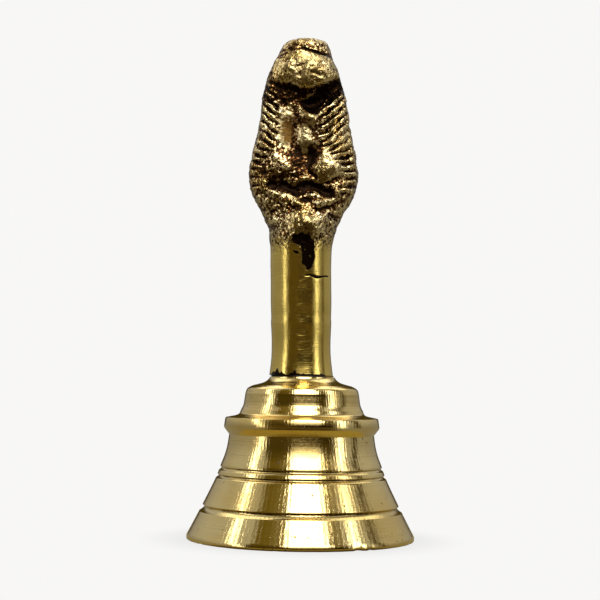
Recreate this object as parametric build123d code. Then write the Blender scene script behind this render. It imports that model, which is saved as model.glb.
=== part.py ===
from build123d import *
import math
import os

# Brass altar hand bell: a turned cup, a cast handle with a winged figure, and a hung clapper.
# The origin is the centre of the mouth's flat rim. +Z runs up the handle and the figure faces -Y.
# Every length is in millimetres. An outline's points are (radius, height).

# Driving sizes
MOUTH_RADIUS = 26.0
TOTAL_HEIGHT = 115.6
CUP_HEIGHT = 37.0
SEAM_HEIGHT = 0.4
STEM_RADIUS = 6.95
WING_SPAN = 25.2

# Cup, outside, from the lip upwards
RIM_WIDTH = 1.5
RIM_ROUND = 0.25
LIP_FLAT = 0.9
SKIRT_TOP = 16.0
SKIRT_TOP_RADIUS = 18.7
SKIRT = ((MOUTH_RADIUS, LIP_FLAT), (22.85, 7.0), (19.9, 13.0), (SKIRT_TOP_RADIUS, SKIRT_TOP))
WAIST = ((18.1, 16.9), (17.75, 19.3), (17.05, 21.4), (16.75, 23.8))
BAND = ((17.8, 25.2), (17.5, 27.6), (15.2, 28.1))
LEDGE = ((15.2, 28.1), (14.3, 28.6), (14.0, 29.4))
SHOULDER = ((13.05, 33.2), (12.55, 34.4), (11.4, 35.0))
FLARE = ((11.4, 35.0), (8.7, 35.8), (7.5, CUP_HEIGHT))
GROOVES = ((7.3, 0.9, 0.35), (14.45, 0.5, 0.28), (16.3, 0.55, 0.26))  # height, width and depth of each

# Cup, inside, from the crown downwards
CROWN_UNDERSIDE = 32.2
CROWN_INNER_RADIUS = 9.6
HOLLOW = ((11.2, 30.8), (13.6, 26.0), (14.7, 21.0), (16.6, 15.6), (21.0, 6.5))

# Handle
STEM_SIDE = ((7.25, 37.4), (6.8, 41.5), (6.7, 45.4), (STEM_RADIUS, 52.0), (7.05, 65.5), (7.5, 70.5))
FIGURE_FOOT = 67.5
FIGURE_SECTIONS = (  # height, half width and half depth
    (FIGURE_FOOT, 6.9, 6.9),
    (72.5, 8.3, 7.8),
    (77.0, 10.8, 7.2),
    (80.4, 12.3, 6.3),
    (83.6, WING_SPAN / 2, 5.5),
    (90.2, 11.4, 4.8),
    (97.5, 10.0, 4.6),
    (103.5, 8.9, 4.7),
    (107.5, 7.6, 4.9),
    (110.6, 6.2, 4.8),
    (113.4, 5.2, 4.3),
    (TOTAL_HEIGHT, 3.2, 2.6),
)
FIGURE_MASSES = (  # centre, cross radius, half length and direction of each rounded mass
    ((0.5, -3.2, 107.2), 3.9, 5.0, (1, 0, 0)),  # bowed head
    ((0.3, -2.6, 95.4), 3.1, 6.6, (0, 0, 1)),  # trunk
    ((0.3, -4.8, 94.4), 1.5, 4.2, (0, -0.1, 1)),  # joined hands
    ((0.0, -3.4, 73.6), 4.2, 5.0, (1, 0, 0)),  # base
)
PAIRED_MASSES = (
    ((4.6, -3.0, 98.4), 1.7, 4.0, (0.35, 0, -1)),  # upper arm
    ((4.6, -3.4, 86.4), 2.8, 4.9, (1, 0, 0.12)),  # knee
    ((3.6, -4.2, 79.4), 1.7, 4.6, (1, 0, 0.55)),  # crossed shin
)
FEATHERS = 12
FEATHER_RADIUS = 0.6
FEATHER_HALF_LENGTH = 2.7
FEATHER_LOWEST = 79.8
FEATHER_HIGHEST = 102.0

# Stud, washer and nut, to the sizes of an M4 thread
STUD_RADIUS = 2.0
STUD_HOLE_RADIUS = 2.15
THREAD_BORE_RADIUS = 2.06
STUD_IN_HANDLE = 11.0
STUD_CHAMFER = 0.4
WASHER_RADIUS = 4.5
WASHER_THICKNESS = 0.8
NUT_ACROSS_FLATS = 7.0
NUT_HEIGHT = 3.2
NUT_CORNER_DROP = 0.35
NUT_TO_EYE = 0.4

# Rings of the clapper's hanger: mean radius and wire radius
STUD_EYE = (2.1, 0.7)
LINK = (2.5, 0.6)
ROD_EYE = (1.9, 0.6)
RING_GAP = 0.1

# Clapper
ROD_RADIUS = 0.9
BALL_RADIUS = 6.0
BALL_HEIGHT = 8.6
BALL_FACE = 0.25
BALL_HOLE_RADIUS = 0.95
HEAD_RADIUS = 1.9
HEAD_HEIGHT = 0.9

# Heights that follow from the sizes above
HANDLE_FOOT = CUP_HEIGHT + SEAM_HEIGHT
WASHER_BOTTOM = CROWN_UNDERSIDE - WASHER_THICKNESS
NUT_BOTTOM = WASHER_BOTTOM - NUT_HEIGHT
STUD_EYE_CENTRE = NUT_BOTTOM - NUT_TO_EYE - sum(STUD_EYE)
LINK_PIVOT = STUD_EYE_CENTRE - STUD_EYE[0] + STUD_EYE[1] + RING_GAP + LINK[1]
LINK_CENTRE = LINK_PIVOT - LINK[0]
ROD_PIVOT = LINK_CENTRE - LINK[0] + LINK[1] + RING_GAP + ROD_EYE[1]
ROD_EYE_CENTRE = ROD_PIVOT - ROD_EYE[0]
BALL_UNDERSIDE = BALL_HEIGHT - BALL_RADIUS + BALL_FACE

UP = (Align.CENTER, Align.CENTER, Align.MIN)


def in_section(points):
    """Turn (radius, height) pairs into points of the XZ plane."""
    return [(radius, 0, height) for radius, height in points]


def straight(*points):
    return Polyline(*in_section(points))


def smooth(*points):
    return Spline(*in_section(points))


def spun(outline):
    """The solid of revolution about Z of a closed outline in the XZ plane."""
    return revolve(make_face(outline), Axis.Z)


def rod(radius, bottom, top):
    return Pos(0, 0, bottom) * Cylinder(radius, top - bottom, align=UP)


def ring_across_y(centre_height, size):
    """A wire ring standing in the XZ plane."""
    return Pos(0, 0, centre_height) * Rot(X=90) * Torus(*size)


def ring_across_x(centre_height, size):
    """A wire ring standing in the YZ plane."""
    return Pos(0, 0, centre_height) * Rot(Y=90) * Torus(*size)


def rounded_mass(centre, radius, half_length, direction):
    """An egg-like solid, round about its direction."""
    half = Ellipse(half_length, radius) & Pos(0, radius) * Rectangle(3 * half_length, 2 * radius)
    along = Vector(*direction).normalized()
    across = Vector(0, 1, 0) if abs(along.Y) < 0.9 else Vector(0, 0, 1)
    return Plane(origin=centre, x_dir=along, z_dir=along.cross(across)) * revolve(half, Axis.X)


def side_radius(height):
    """Radius of the cup's side at a height, between the points of its outline."""
    side = SKIRT + WAIST
    for (low_radius, low), (high_radius, high) in zip(side, side[1:]):
        if low <= height <= high:
            return low_radius + (high_radius - low_radius) * (height - low) / (high - low)


def groove_ring(height, width, depth):
    """A round-bottomed groove about the cup's side."""
    surface = side_radius(height)
    radius = (width * width / 4 + depth * depth) / (2 * depth)
    return Pos(0, 0, height) * Torus(surface + radius - depth, radius)


def bell_cup():
    """One turned casting: lip, grooved skirt, waist, band, tier, neck and crown."""
    rim_outer = MOUTH_RADIUS - RIM_ROUND
    rim_inner = (MOUTH_RADIUS - RIM_WIDTH, 0)
    outline = straight(rim_inner, (rim_outer, 0), (MOUTH_RADIUS, RIM_ROUND), SKIRT[0])
    outline += smooth(*SKIRT)
    outline += straight(SKIRT[-1], WAIST[0])
    outline += smooth(*WAIST)
    outline += straight(WAIST[-1], *BAND)
    outline += smooth(*LEDGE)
    outline += straight(LEDGE[-1], SHOULDER[0])
    outline += smooth(*SHOULDER)
    outline += smooth(*FLARE)
    crown_edge = (CROWN_INNER_RADIUS, CROWN_UNDERSIDE)
    outline += straight(FLARE[-1], (0, CUP_HEIGHT), (0, CROWN_UNDERSIDE), crown_edge)
    outline += smooth(crown_edge, *HOLLOW, rim_inner)
    cup = spun(outline)
    for groove in GROOVES:
        cup -= groove_ring(*groove)
    return cup - rod(STUD_HOLE_RADIUS, CROWN_UNDERSIDE - 1, CUP_HEIGHT + 1)


def stem():
    """The hand-filed round stem, from the foot to just inside the figure."""
    top_radius, top = STEM_SIDE[-1]
    ends = straight((top_radius, top), (0, top), (0, HANDLE_FOOT), STEM_SIDE[0])
    return spun(ends + smooth(*STEM_SIDE))


def almond_back():
    """The almond-shaped body of the figure, which its folded wings wrap."""
    return loft([Pos(0, 0, height) * Ellipse(wide, deep) for height, wide, deep in FIGURE_SECTIONS])


def feathers():
    """Raised ribs along both edges of the almond, steeper towards the top."""
    ribs = []
    for i in range(FEATHERS):
        share = i / (FEATHERS - 1)
        height = FEATHER_LOWEST + share * (FEATHER_HIGHEST - FEATHER_LOWEST)
        edge = 11.3 - 2.3 * share - 1.3 * max(0, 1 - share / 0.15)
        tilt = math.radians(4 + 36 * share)
        out = edge - FEATHER_HALF_LENGTH * math.cos(tilt)
        for side in (-1, 1):
            direction = (side * math.cos(tilt), 0.28, math.sin(tilt))
            ribs.append(rounded_mass((side * out, -3.1, height), FEATHER_RADIUS, FEATHER_HALF_LENGTH, direction))
    return ribs


def handle():
    """Stem and winged kneeling figure in one casting, bored in its foot for the stud."""
    body = stem() + almond_back()
    for mass in FIGURE_MASSES:
        body += rounded_mass(*mass)
    for (x, y, z), radius, half_length, (dx, dy, dz) in PAIRED_MASSES:
        for side in (-1, 1):
            body += rounded_mass((side * x, y, z), radius, half_length, (side * dx, dy, dz))
    for rib in feathers():
        body += rib
    return body - rod(THREAD_BORE_RADIUS, HANDLE_FOOT - 1, HANDLE_FOOT + STUD_IN_HANDLE)


def seam_filler():
    """The thin ring of blackened filler that beds the handle's foot on the cup's neck."""
    bedded = STEM_SIDE[0][0] - 0.15
    return rod(bedded, CUP_HEIGHT, HANDLE_FOOT) - rod(STUD_HOLE_RADIUS, CUP_HEIGHT, HANDLE_FOOT)


def eye_stud():
    """A threaded stud, drawn as plain rod, with a ring eye at its lower end."""
    bottom = STUD_EYE_CENTRE + STUD_EYE[0]
    shank = rod(STUD_RADIUS, bottom, HANDLE_FOOT + STUD_IN_HANDLE - STUD_CHAMFER)
    shank = chamfer(shank.edges().filter_by(GeomType.CIRCLE), STUD_CHAMFER)
    return shank + ring_across_y(STUD_EYE_CENTRE, STUD_EYE)


def crown_washer():
    top = WASHER_BOTTOM + WASHER_THICKNESS
    return rod(WASHER_RADIUS, WASHER_BOTTOM, top) - rod(STUD_HOLE_RADIUS, WASHER_BOTTOM, top)


def crown_nut():
    """The hexagon nut that draws cup and handle together, its corners turned off at both faces."""
    corner = NUT_ACROSS_FLATS / math.sqrt(3)
    blank = extrude(RegularPolygon(corner, 6), NUT_HEIGHT)
    low_radius = corner - NUT_CORNER_DROP
    spread = NUT_HEIGHT * math.sqrt(3)
    cone = Cone(low_radius, low_radius + spread, NUT_HEIGHT, align=UP)
    blank &= cone
    blank &= Pos(0, 0, NUT_HEIGHT) * Rot(X=180) * cone
    return Pos(0, 0, NUT_BOTTOM) * blank - rod(THREAD_BORE_RADIUS, NUT_BOTTOM - 1, WASHER_BOTTOM + 1)


def clapper_link():
    """The closed wire ring between the stud's eye and the clapper's eye."""
    return ring_across_x(LINK_CENTRE, LINK)


def clapper_rod():
    """The clapper's iron rod: an eye, a straight shank and a riveted head under the ball."""
    shank = rod(ROD_RADIUS, BALL_UNDERSIDE, ROD_EYE_CENTRE - ROD_EYE[0])
    head_bottom = BALL_UNDERSIDE - HEAD_HEIGHT
    head = Pos(0, 0, head_bottom) * Cone(HEAD_RADIUS * 0.7, HEAD_RADIUS, HEAD_HEIGHT, align=UP)
    return shank + ring_across_y(ROD_EYE_CENTRE, ROD_EYE) + head


def clapper_ball():
    """The brass ball, drilled for its rod and faced flat at both ends of the hole."""
    ball = Sphere(BALL_RADIUS) & Cylinder(BALL_RADIUS, 2 * (BALL_RADIUS - BALL_FACE))
    return Pos(0, 0, BALL_HEIGHT) * (ball - Cylinder(BALL_HOLE_RADIUS, 2 * BALL_RADIUS))


PIECES = (
    bell_cup,
    handle,
    seam_filler,
    eye_stud,
    crown_washer,
    crown_nut,
    clapper_link,
    clapper_rod,
    clapper_ball,
)

os.makedirs("parts", exist_ok=True)
for piece in PIECES:
    export_step(piece(), f"parts/{piece.__name__}.step")
print(f"link turns at {LINK_PIVOT:.2f}, clapper turns at {ROD_PIVOT:.2f}, handle foot at {HANDLE_FOOT:.2f}")
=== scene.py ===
import math

import bmesh
import bpy
import numpy as np
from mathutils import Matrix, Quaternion, Vector, noise


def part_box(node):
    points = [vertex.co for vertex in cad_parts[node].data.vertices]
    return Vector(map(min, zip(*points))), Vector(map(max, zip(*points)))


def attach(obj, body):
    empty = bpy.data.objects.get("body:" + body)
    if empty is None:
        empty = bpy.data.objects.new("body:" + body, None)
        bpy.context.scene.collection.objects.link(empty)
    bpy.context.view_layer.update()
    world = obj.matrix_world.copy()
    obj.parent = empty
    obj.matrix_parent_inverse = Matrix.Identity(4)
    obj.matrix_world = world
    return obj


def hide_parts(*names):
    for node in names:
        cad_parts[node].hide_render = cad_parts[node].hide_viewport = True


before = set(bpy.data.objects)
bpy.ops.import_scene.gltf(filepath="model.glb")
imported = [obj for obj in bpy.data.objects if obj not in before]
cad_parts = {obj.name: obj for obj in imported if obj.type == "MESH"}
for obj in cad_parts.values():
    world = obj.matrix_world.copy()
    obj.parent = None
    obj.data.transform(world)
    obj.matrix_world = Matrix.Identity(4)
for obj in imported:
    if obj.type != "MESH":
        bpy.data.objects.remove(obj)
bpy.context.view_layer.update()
mm = 0.001
print("frame loaded")


# shader helpers

def feed(tree, node, values):
    for socket, value in values.items():
        if isinstance(value, bpy.types.NodeSocket):
            tree.links.new(value, node.inputs[socket])
        else:
            node.inputs[socket].default_value = value
    return node


def addNode(tree, kind, values=None, **settings):
    made = tree.nodes.new("ShaderNode" + kind)
    for name, value in settings.items():
        setattr(made, name, value)
    return feed(tree, made, values or {})


def maths(tree, operation, first, second=0.0, third=0.0):
    return addNode(tree, "Math", {0: first, 1: second, 2: third}, operation=operation).outputs[0]


def ramp(tree, value, low, high, toLow=0.0, toHigh=1.0, kind="SMOOTHSTEP"):
    values = {"Value": value, "From Min": low, "From Max": high, "To Min": toLow, "To Max": toHigh}
    return addNode(tree, "MapRange", values, interpolation_type=kind).outputs[0]


def between(tree, value, low, high, soft):
    # 1 inside low..high, falling to 0 over soft on both sides
    rise = ramp(tree, value, low - soft, low + soft)
    fall = ramp(tree, value, high - soft, high + soft, 1.0, 0.0)
    return maths(tree, "MULTIPLY", rise, fall)


def mixColour(tree, share, first, second):
    # sockets 6, 7 and output 2 are the node's colours
    first, second = (value if isinstance(value, bpy.types.NodeSocket) else (*value, 1.0) for value in (first, second))
    return addNode(tree, "Mix", {0: share, 6: first, 7: second}, data_type="RGBA").outputs[2]


def newGroup(name, inputs, outputs):
    tree = bpy.data.node_groups.new(name, "ShaderNodeTree")
    for label, kind, value in inputs:
        socket = tree.interface.new_socket(label, in_out="INPUT", socket_type="NodeSocket" + kind)
        if value is not None:
            socket.default_value = value
    for label, kind in outputs:
        tree.interface.new_socket(label, in_out="OUTPUT", socket_type="NodeSocket" + kind)
    return tree, tree.nodes.new("NodeGroupInput").outputs, tree.nodes.new("NodeGroupOutput").inputs


def useGroup(tree, group, values):
    made = tree.nodes.new("ShaderNodeGroup")
    made.node_tree = group
    return feed(tree, made, values).outputs


def attribute(tree, name):
    return addNode(tree, "Attribute", attribute_name=name).outputs["Fac"]


def cloudNoise(tree, position, scale, detail, roughness=0.5):
    values = {"Vector": position, "Scale": scale, "Detail": detail, "Roughness": roughness}
    return addNode(tree, "TexNoise", values).outputs[0]


def bearing(tree, x, y):
    # degrees round the vertical, 0 in front and positive towards +X
    return maths(tree, "MULTIPLY", maths(tree, "ARCTAN2", x, maths(tree, "MULTIPLY", y, -1.0)), 180 / math.pi)


def makeTurningLines():
    # rings left by a lathe tool: they follow height and radius only, and fade in and out round the piece
    tree, given, result = newGroup(
        "turningLines",
        [("Position", "Vector", None), ("Spacing", "Float", 0.0002), ("Patches", "Float", 0.004)],
        [("Lines", "Float"), ("Ripple", "Float"), ("Chatter", "Float")],
    )
    place = addNode(tree, "SeparateXYZ", {0: given["Position"]}).outputs
    radius = maths(tree, "SQRT", maths(tree, "ADD", maths(tree, "MULTIPLY", place[0], place[0]),
                                       maths(tree, "MULTIPLY", place[1], place[1])))
    along = addNode(tree, "CombineXYZ", {0: radius, 2: place[2]}).outputs[0]
    perLine = maths(tree, "DIVIDE", 1.0, given["Spacing"])
    lines = cloudNoise(tree, along, perLine, 3.0, 0.65)
    perPatch = maths(tree, "DIVIDE", 1.0, given["Patches"])
    patches = cloudNoise(tree, given["Position"], perPatch, 2.0)
    strength = ramp(tree, patches, 0.35, 0.65, 0.35, 1.0)
    centred = maths(tree, "SUBTRACT", lines, 0.5)
    tree.links.new(maths(tree, "MULTIPLY_ADD", centred, strength, 0.5), result["Lines"])
    drawn = addNode(tree, "VectorMath", {0: given["Position"], 1: (1.0, 1.0, 0.4)}, operation="MULTIPLY").outputs[0]
    ripple = cloudNoise(tree, drawn, maths(tree, "MULTIPLY", perPatch, 7.0), 3.0, 0.6)
    tree.links.new(ripple, result["Ripple"])
    # chatter marks stand across the lines
    perTurn = 150.0
    turn = maths(tree, "MULTIPLY", maths(tree, "ARCTAN2", place[1], place[0]), perTurn)
    chatter = maths(tree, "MULTIPLY", maths(tree, "SINE", turn), ramp(tree, ripple, 0.4, 0.6))
    tree.links.new(chatter, result["Chatter"])
    return tree


def makeCastSkin():
    # the granular skin of a sand casting: fine grains, larger lumps and scattered pin holes
    tree, given, result = newGroup(
        "castSkin",
        [("Position", "Vector", None), ("Grain", "Float", 0.0005), ("Pits", "Float", 0.5)],
        [("Height", "Float"), ("Grains", "Float"), ("Pit Mask", "Float")],
    )
    perGrain = maths(tree, "DIVIDE", 1.0, given["Grain"])
    fine = cloudNoise(tree, given["Position"], perGrain, 1.5)
    perLump, perPit = (maths(tree, "MULTIPLY", perGrain, share) for share in (0.7, 0.3))
    lumps = addNode(tree, "TexVoronoi", {"Vector": given["Position"], "Scale": perLump}, feature="SMOOTH_F1")
    sparse = addNode(tree, "TexVoronoi", {"Vector": given["Position"], "Scale": perPit})
    pits = ramp(tree, sparse.outputs["Distance"], 0.0, maths(tree, "MULTIPLY", given["Pits"], 0.3), 1.0, 0.0)
    rough = maths(tree, "MULTIPLY_ADD", lumps.outputs["Distance"], -0.6, fine)
    tree.links.new(maths(tree, "MULTIPLY_ADD", pits, -1.2, rough), result["Height"])
    tree.links.new(fine, result["Grains"])
    tree.links.new(pits, result["Pit Mask"])
    return tree


def makeTarnish():
    # slow clouds and small specks of tarnish
    tree, given, result = newGroup(
        "tarnish",
        [("Position", "Vector", None), ("Cloud Size", "Float", 0.012), ("Speck Size", "Float", 0.0012)],
        [("Clouds", "Float"), ("Specks", "Float")],
    )
    clouds = cloudNoise(tree, given["Position"], maths(tree, "DIVIDE", 1.0, given["Cloud Size"]), 4.0, 0.55)
    specks = cloudNoise(tree, given["Position"], maths(tree, "DIVIDE", 1.0, given["Speck Size"]), 2.0)
    tree.links.new(ramp(tree, clouds, 0.35, 0.7), result["Clouds"])
    tree.links.new(ramp(tree, specks, 0.68, 0.76), result["Specks"])
    return tree


turningLines = makeTurningLines()
castSkin = makeCastSkin()
tarnish = makeTarnish()


def newMaterial(name):
    material = bpy.data.materials.new(name)
    material.use_nodes = True
    tree = material.node_tree
    shader = tree.nodes["Principled BSDF"]
    position = addNode(tree, "TexCoord").outputs["Object"]
    return material, tree, shader, position


def setBump(tree, shader, height, distance, normal=None):
    values = {"Height": height, "Distance": distance, "Strength": 1.0}
    if normal:
        values["Normal"] = normal
    bump = addNode(tree, "Bump", values).outputs[0]
    tree.links.new(bump, shader.inputs["Normal"])
    return bump


# materials

cupFinish = {  # depths, sizes and spacings in metres
    "brass": (0.88, 0.69, 0.30),
    "warmBrass": (0.83, 0.60, 0.21),
    "tarnishBrown": (0.16, 0.09, 0.025),
    # colour of the painted shade and dirt in the grooves
    "grooveDirtAndShade": (0.012, 0.005, 0.002),
    "patchSize": 0.004,
    "cloudSize": 0.014,
    "speckSize": 0.0011,
    "speckRoughness": 0.3,
    "cloudRoughness": 0.07,
    "roughness": 0.09,
    "lineSpacing": 0.00022,
    "lineDepth": 0.000016,
    "rippleDepth": 0.000024,
    "chatterDepth": 0.000005,
}


def turnedBrass(name, finish, tint):
    # tint is how brown the turning lines are
    material, tree, shader, position = newMaterial(name)
    lines = useGroup(tree, turningLines, {"Position": position, "Spacing": finish["lineSpacing"],
                                          "Patches": finish["patchSize"]})
    stain = useGroup(tree, tarnish, {"Position": position, "Cloud Size": finish["cloudSize"],
                                     "Speck Size": finish["speckSize"]})
    colour = mixColour(tree, stain["Clouds"], finish["brass"], finish["warmBrass"])
    toneLines = ramp(tree, lines["Lines"], 0.3, 0.5, tint, 0.0)
    colour = mixColour(tree, toneLines, colour, finish["tarnishBrown"])
    colour = mixColour(tree, stain["Specks"], colour, finish["tarnishBrown"])
    # painted shade and dirt in the grooves, darkest in front
    dirtAndShade = maths(tree, "MULTIPLY", attribute(tree, "dirtAndShade"), ramp(tree, lines["Ripple"], 0.32, 0.52, 0.55, 1.0))
    colour = mixColour(tree, dirtAndShade, colour, finish["grooveDirtAndShade"])
    tree.links.new(colour, shader.inputs["Base Color"])
    shader.inputs["Metallic"].default_value = 1.0
    rough = ramp(tree, stain["Clouds"], 0.0, 1.0, finish["roughness"], finish["roughness"] + finish["cloudRoughness"])
    rough = maths(tree, "MULTIPLY_ADD", stain["Specks"], finish["speckRoughness"], rough)
    tree.links.new(rough, shader.inputs["Roughness"])
    rippled = setBump(tree, shader, lines["Ripple"], finish["rippleDepth"])
    chattered = setBump(tree, shader, lines["Chatter"], finish["chatterDepth"], rippled)
    setBump(tree, shader, lines["Lines"], finish["lineDepth"], chattered)
    return material


insideFinish = {
    **cupFinish,
    "brass": (0.66, 0.48, 0.20),
    "warmBrass": (0.48, 0.32, 0.11),
    "tarnishBrown": (0.10, 0.06, 0.02),
    "roughness": 0.38,
    "lineSpacing": 0.0006,
    "lineDepth": 0.00004,
    "rippleDepth": 0.00004,
    "chatterDepth": 0.0,
}

handleFinish = {
    "stemBrass": (0.86, 0.64, 0.17),
    "brass": (0.78, 0.63, 0.33),
    "warmBrass": (0.52, 0.37, 0.13),
    "amber": (0.15, 0.068, 0.007),
    "patinaBrown": (0.12, 0.048, 0.012),
    "patinaBlack": (0.012, 0.006, 0.003),
    "grain": 0.00055,
    "grainDepth": 0.00016,
    "pits": 0.6,
    "cloudSize": 0.007,
    "speckSize": 0.0008,
    "fileSpacing": 0.00025,
    "fileDepth": 0.000055,
    "filePatch": 0.003,
    "fileRipple": 0.00002,
    "stemRoughness": 0.17,
    "castRoughness": 0.15,
    "castFrom": 0.0655,
    "castTo": 0.0700,
}


def figureBrass(name, finish):
    # filed and polished brass on the stem, rough cast brass with dark patina and some painted shade in the hollows of
    # the figure
    material, tree, shader, position = newMaterial(name)
    height = addNode(tree, "SeparateXYZ", {0: position}).outputs[2]
    stain = useGroup(tree, tarnish, {"Position": position, "Cloud Size": finish["cloudSize"],
                                     "Speck Size": finish["speckSize"]})
    skin = useGroup(tree, castSkin, {"Position": position, "Grain": finish["grain"], "Pits": finish["pits"]})
    filed = useGroup(tree, turningLines, {"Position": position, "Spacing": finish["fileSpacing"],
                                          "Patches": finish["filePatch"]})
    waver = maths(tree, "MULTIPLY_ADD", skin["Grains"], 0.006, -0.003)
    cast = ramp(tree, maths(tree, "ADD", height, waver), finish["castFrom"], finish["castTo"])

    # dirt and patina gather in the hollows and among the grains, with painted shade added under the chin and in the
    # bands below the knees, and are rubbed off the worn places
    hollow, worn, mark = (attribute(tree, name) for name in ("hollow", "worn", "sootShadeAndReflection"))
    patinaAndShade = maths(tree, "MULTIPLY_ADD", skin["Grains"], 1.6, hollow)
    patinaAndShade = maths(tree, "MULTIPLY_ADD", stain["Clouds"], 0.12, patinaAndShade)
    patinaAndShade = maths(tree, "MULTIPLY_ADD", skin["Pit Mask"], 0.35, patinaAndShade)
    patinaAndShade = maths(tree, "MULTIPLY_ADD", worn, -0.62, patinaAndShade)
    brown = maths(tree, "MULTIPLY", ramp(tree, patinaAndShade, 0.82, 1.14), cast)
    black = maths(tree, "MULTIPLY", ramp(tree, patinaAndShade, 1.10, 1.42), cast)
    # black marks: residue, painted shade in the crack and the crevice, and a painted dark reflection down the stem
    blackening = maths(tree, "MULTIPLY_ADD", skin["Grains"], 0.4, mark)
    black = maths(tree, "MAXIMUM", black, ramp(tree, blackening, 0.55, 0.75))

    colour = mixColour(tree, stain["Clouds"], finish["brass"], finish["warmBrass"])
    rubbed = maths(tree, "MULTIPLY_ADD", skin["Grains"], 0.7, worn)
    colour = mixColour(tree, ramp(tree, rubbed, 0.85, 1.25, 0.0, 0.95), colour, finish["amber"])
    colour = mixColour(tree, cast, finish["stemBrass"], colour)
    colour = mixColour(tree, brown, colour, finish["patinaBrown"])
    colour = mixColour(tree, black, colour, finish["patinaBlack"])
    tree.links.new(colour, shader.inputs["Base Color"])
    shader.inputs["Metallic"].default_value = 1.0
    rough = ramp(tree, cast, 0.0, 1.0, finish["stemRoughness"], finish["castRoughness"])
    rough = maths(tree, "MULTIPLY_ADD", black, 0.20, rough)
    rough = maths(tree, "MULTIPLY_ADD", brown, 0.06, rough)
    rough = maths(tree, "ADD", rough, ramp(tree, worn, 0.2, 0.5, 0.0, 0.15))
    rough = maths(tree, "ADD", rough, ramp(tree, worn, 0.50, 0.85, 0.0, 0.26))
    tree.links.new(rough, shader.inputs["Roughness"])

    rippled = setBump(tree, shader, filed["Ripple"], finish["fileRipple"])
    lined = setBump(tree, shader, filed["Lines"], finish["fileDepth"], rippled)
    unworn = maths(tree, "MULTIPLY_ADD", worn, -0.8, 1.0)
    grainy = maths(tree, "MULTIPLY", skin["Height"], maths(tree, "MULTIPLY", cast, unworn))
    setBump(tree, shader, grainy, finish["grainDepth"], lined)
    return material


seamFinish = {
    "grain": 0.0004,
    "pits": 0.4,
    "black": (0.002, 0.0015, 0.001),
    "brown": (0.03, 0.018, 0.008),
    "bareBrass": (0.30, 0.19, 0.04),
    "bareFrom": 0.0060,
    "bareTo": 0.0066,
    "bareWaver": 0.002,
    "depth": 0.0001,
}


def sootFiller(name, finish):
    # matt black, with bare brass on its right side
    material, tree, shader, position = newMaterial(name)
    skin = useGroup(tree, castSkin, {"Position": position, "Grain": finish["grain"], "Pits": finish["pits"]})
    colour = mixColour(tree, skin["Grains"], finish["black"], finish["brown"])
    side = addNode(tree, "SeparateXYZ", {0: position}).outputs[0]
    side = maths(tree, "MULTIPLY_ADD", skin["Grains"], finish["bareWaver"], side)
    bare = ramp(tree, side, finish["bareFrom"], finish["bareTo"])
    tree.links.new(mixColour(tree, bare, colour, finish["bareBrass"]), shader.inputs["Base Color"])
    tree.links.new(bare, shader.inputs["Metallic"])
    tree.links.new(ramp(tree, skin["Grains"], 0.3, 0.7, 0.45, 0.8), shader.inputs["Roughness"])
    setBump(tree, shader, skin["Height"], finish["depth"])
    return material


studFinish = {
    "bright": (0.58, 0.56, 0.53),
    "dull": (0.36, 0.33, 0.29),
    "rustBrown": (0.10, 0.035, 0.012),
    "rust": 0.15,
    "roughness": 0.28,
    "cloudRoughness": 0.15,
    "rustRoughness": 0.4,
    "cloudSize": 0.003,
    "speckSize": 0.0006,
    "grain": 0.0003,
    "pits": 0.3,
    "depth": 0.00002,
}

wireFinish = {
    **studFinish,
    "bright": (0.30, 0.28, 0.26),
    "dull": (0.16, 0.14, 0.12),
    "rust": 0.55,
    "roughness": 0.38,
}


def drawnMetal(name, finish):
    # plain steel or iron with thin tarnish and some rust
    material, tree, shader, position = newMaterial(name)
    stain = useGroup(tree, tarnish, {"Position": position, "Cloud Size": finish["cloudSize"],
                                     "Speck Size": finish["speckSize"]})
    skin = useGroup(tree, castSkin, {"Position": position, "Grain": finish["grain"], "Pits": finish["pits"]})
    colour = mixColour(tree, stain["Clouds"], finish["bright"], finish["dull"])
    rusted = maths(tree, "MULTIPLY", ramp(tree, skin["Grains"], 0.5, 0.65), finish["rust"])
    colour = mixColour(tree, rusted, colour, finish["rustBrown"])
    tree.links.new(colour, shader.inputs["Base Color"])
    tree.links.new(maths(tree, "SUBTRACT", 1.0, rusted), shader.inputs["Metallic"])
    rough = ramp(tree, stain["Clouds"], 0.0, 1.0, finish["roughness"], finish["roughness"] + finish["cloudRoughness"])
    rough = maths(tree, "MULTIPLY_ADD", rusted, finish["rustRoughness"], rough)
    tree.links.new(rough, shader.inputs["Roughness"])
    setBump(tree, shader, skin["Height"], finish["depth"])
    return material


cupOutside = turnedBrass("cupOutside", cupFinish, 0.25)
cupInside = turnedBrass("cupInside", insideFinish, 0.5)
handleBrass = figureBrass("handleBrass", handleFinish)
seamBlack = sootFiller("seamBlack", seamFinish)
studSteel = drawnMetal("studSteel", studFinish)
ironWire = drawnMetal("ironWire", wireFinish)
ballFinish = {**cupFinish, "roughness": 0.24, "lineSpacing": 0.0003}
ballBrass = turnedBrass("ballBrass", ballFinish, 0.35)
print("materials made")


# mesh helpers

def smoothRun(points, steps):
    # a Catmull-Rom run through pairs of numbers, ends included
    ends = [points[0], *points, points[-1]]
    run = [Vector(points[0])]
    for a, b, c, d in zip(ends, ends[1:], ends[2:], ends[3:]):
        a, b, c, d = Vector(a), Vector(b), Vector(c), Vector(d)
        for i in range(1, steps + 1):
            t = i / steps
            run.append(0.5 * (2 * b + (c - a) * t + (2 * a - 5 * b + 4 * c - d) * t * t
                              + (3 * b - a - 3 * c + d) * t ** 3))
    return [tuple(point) for point in run]


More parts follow.
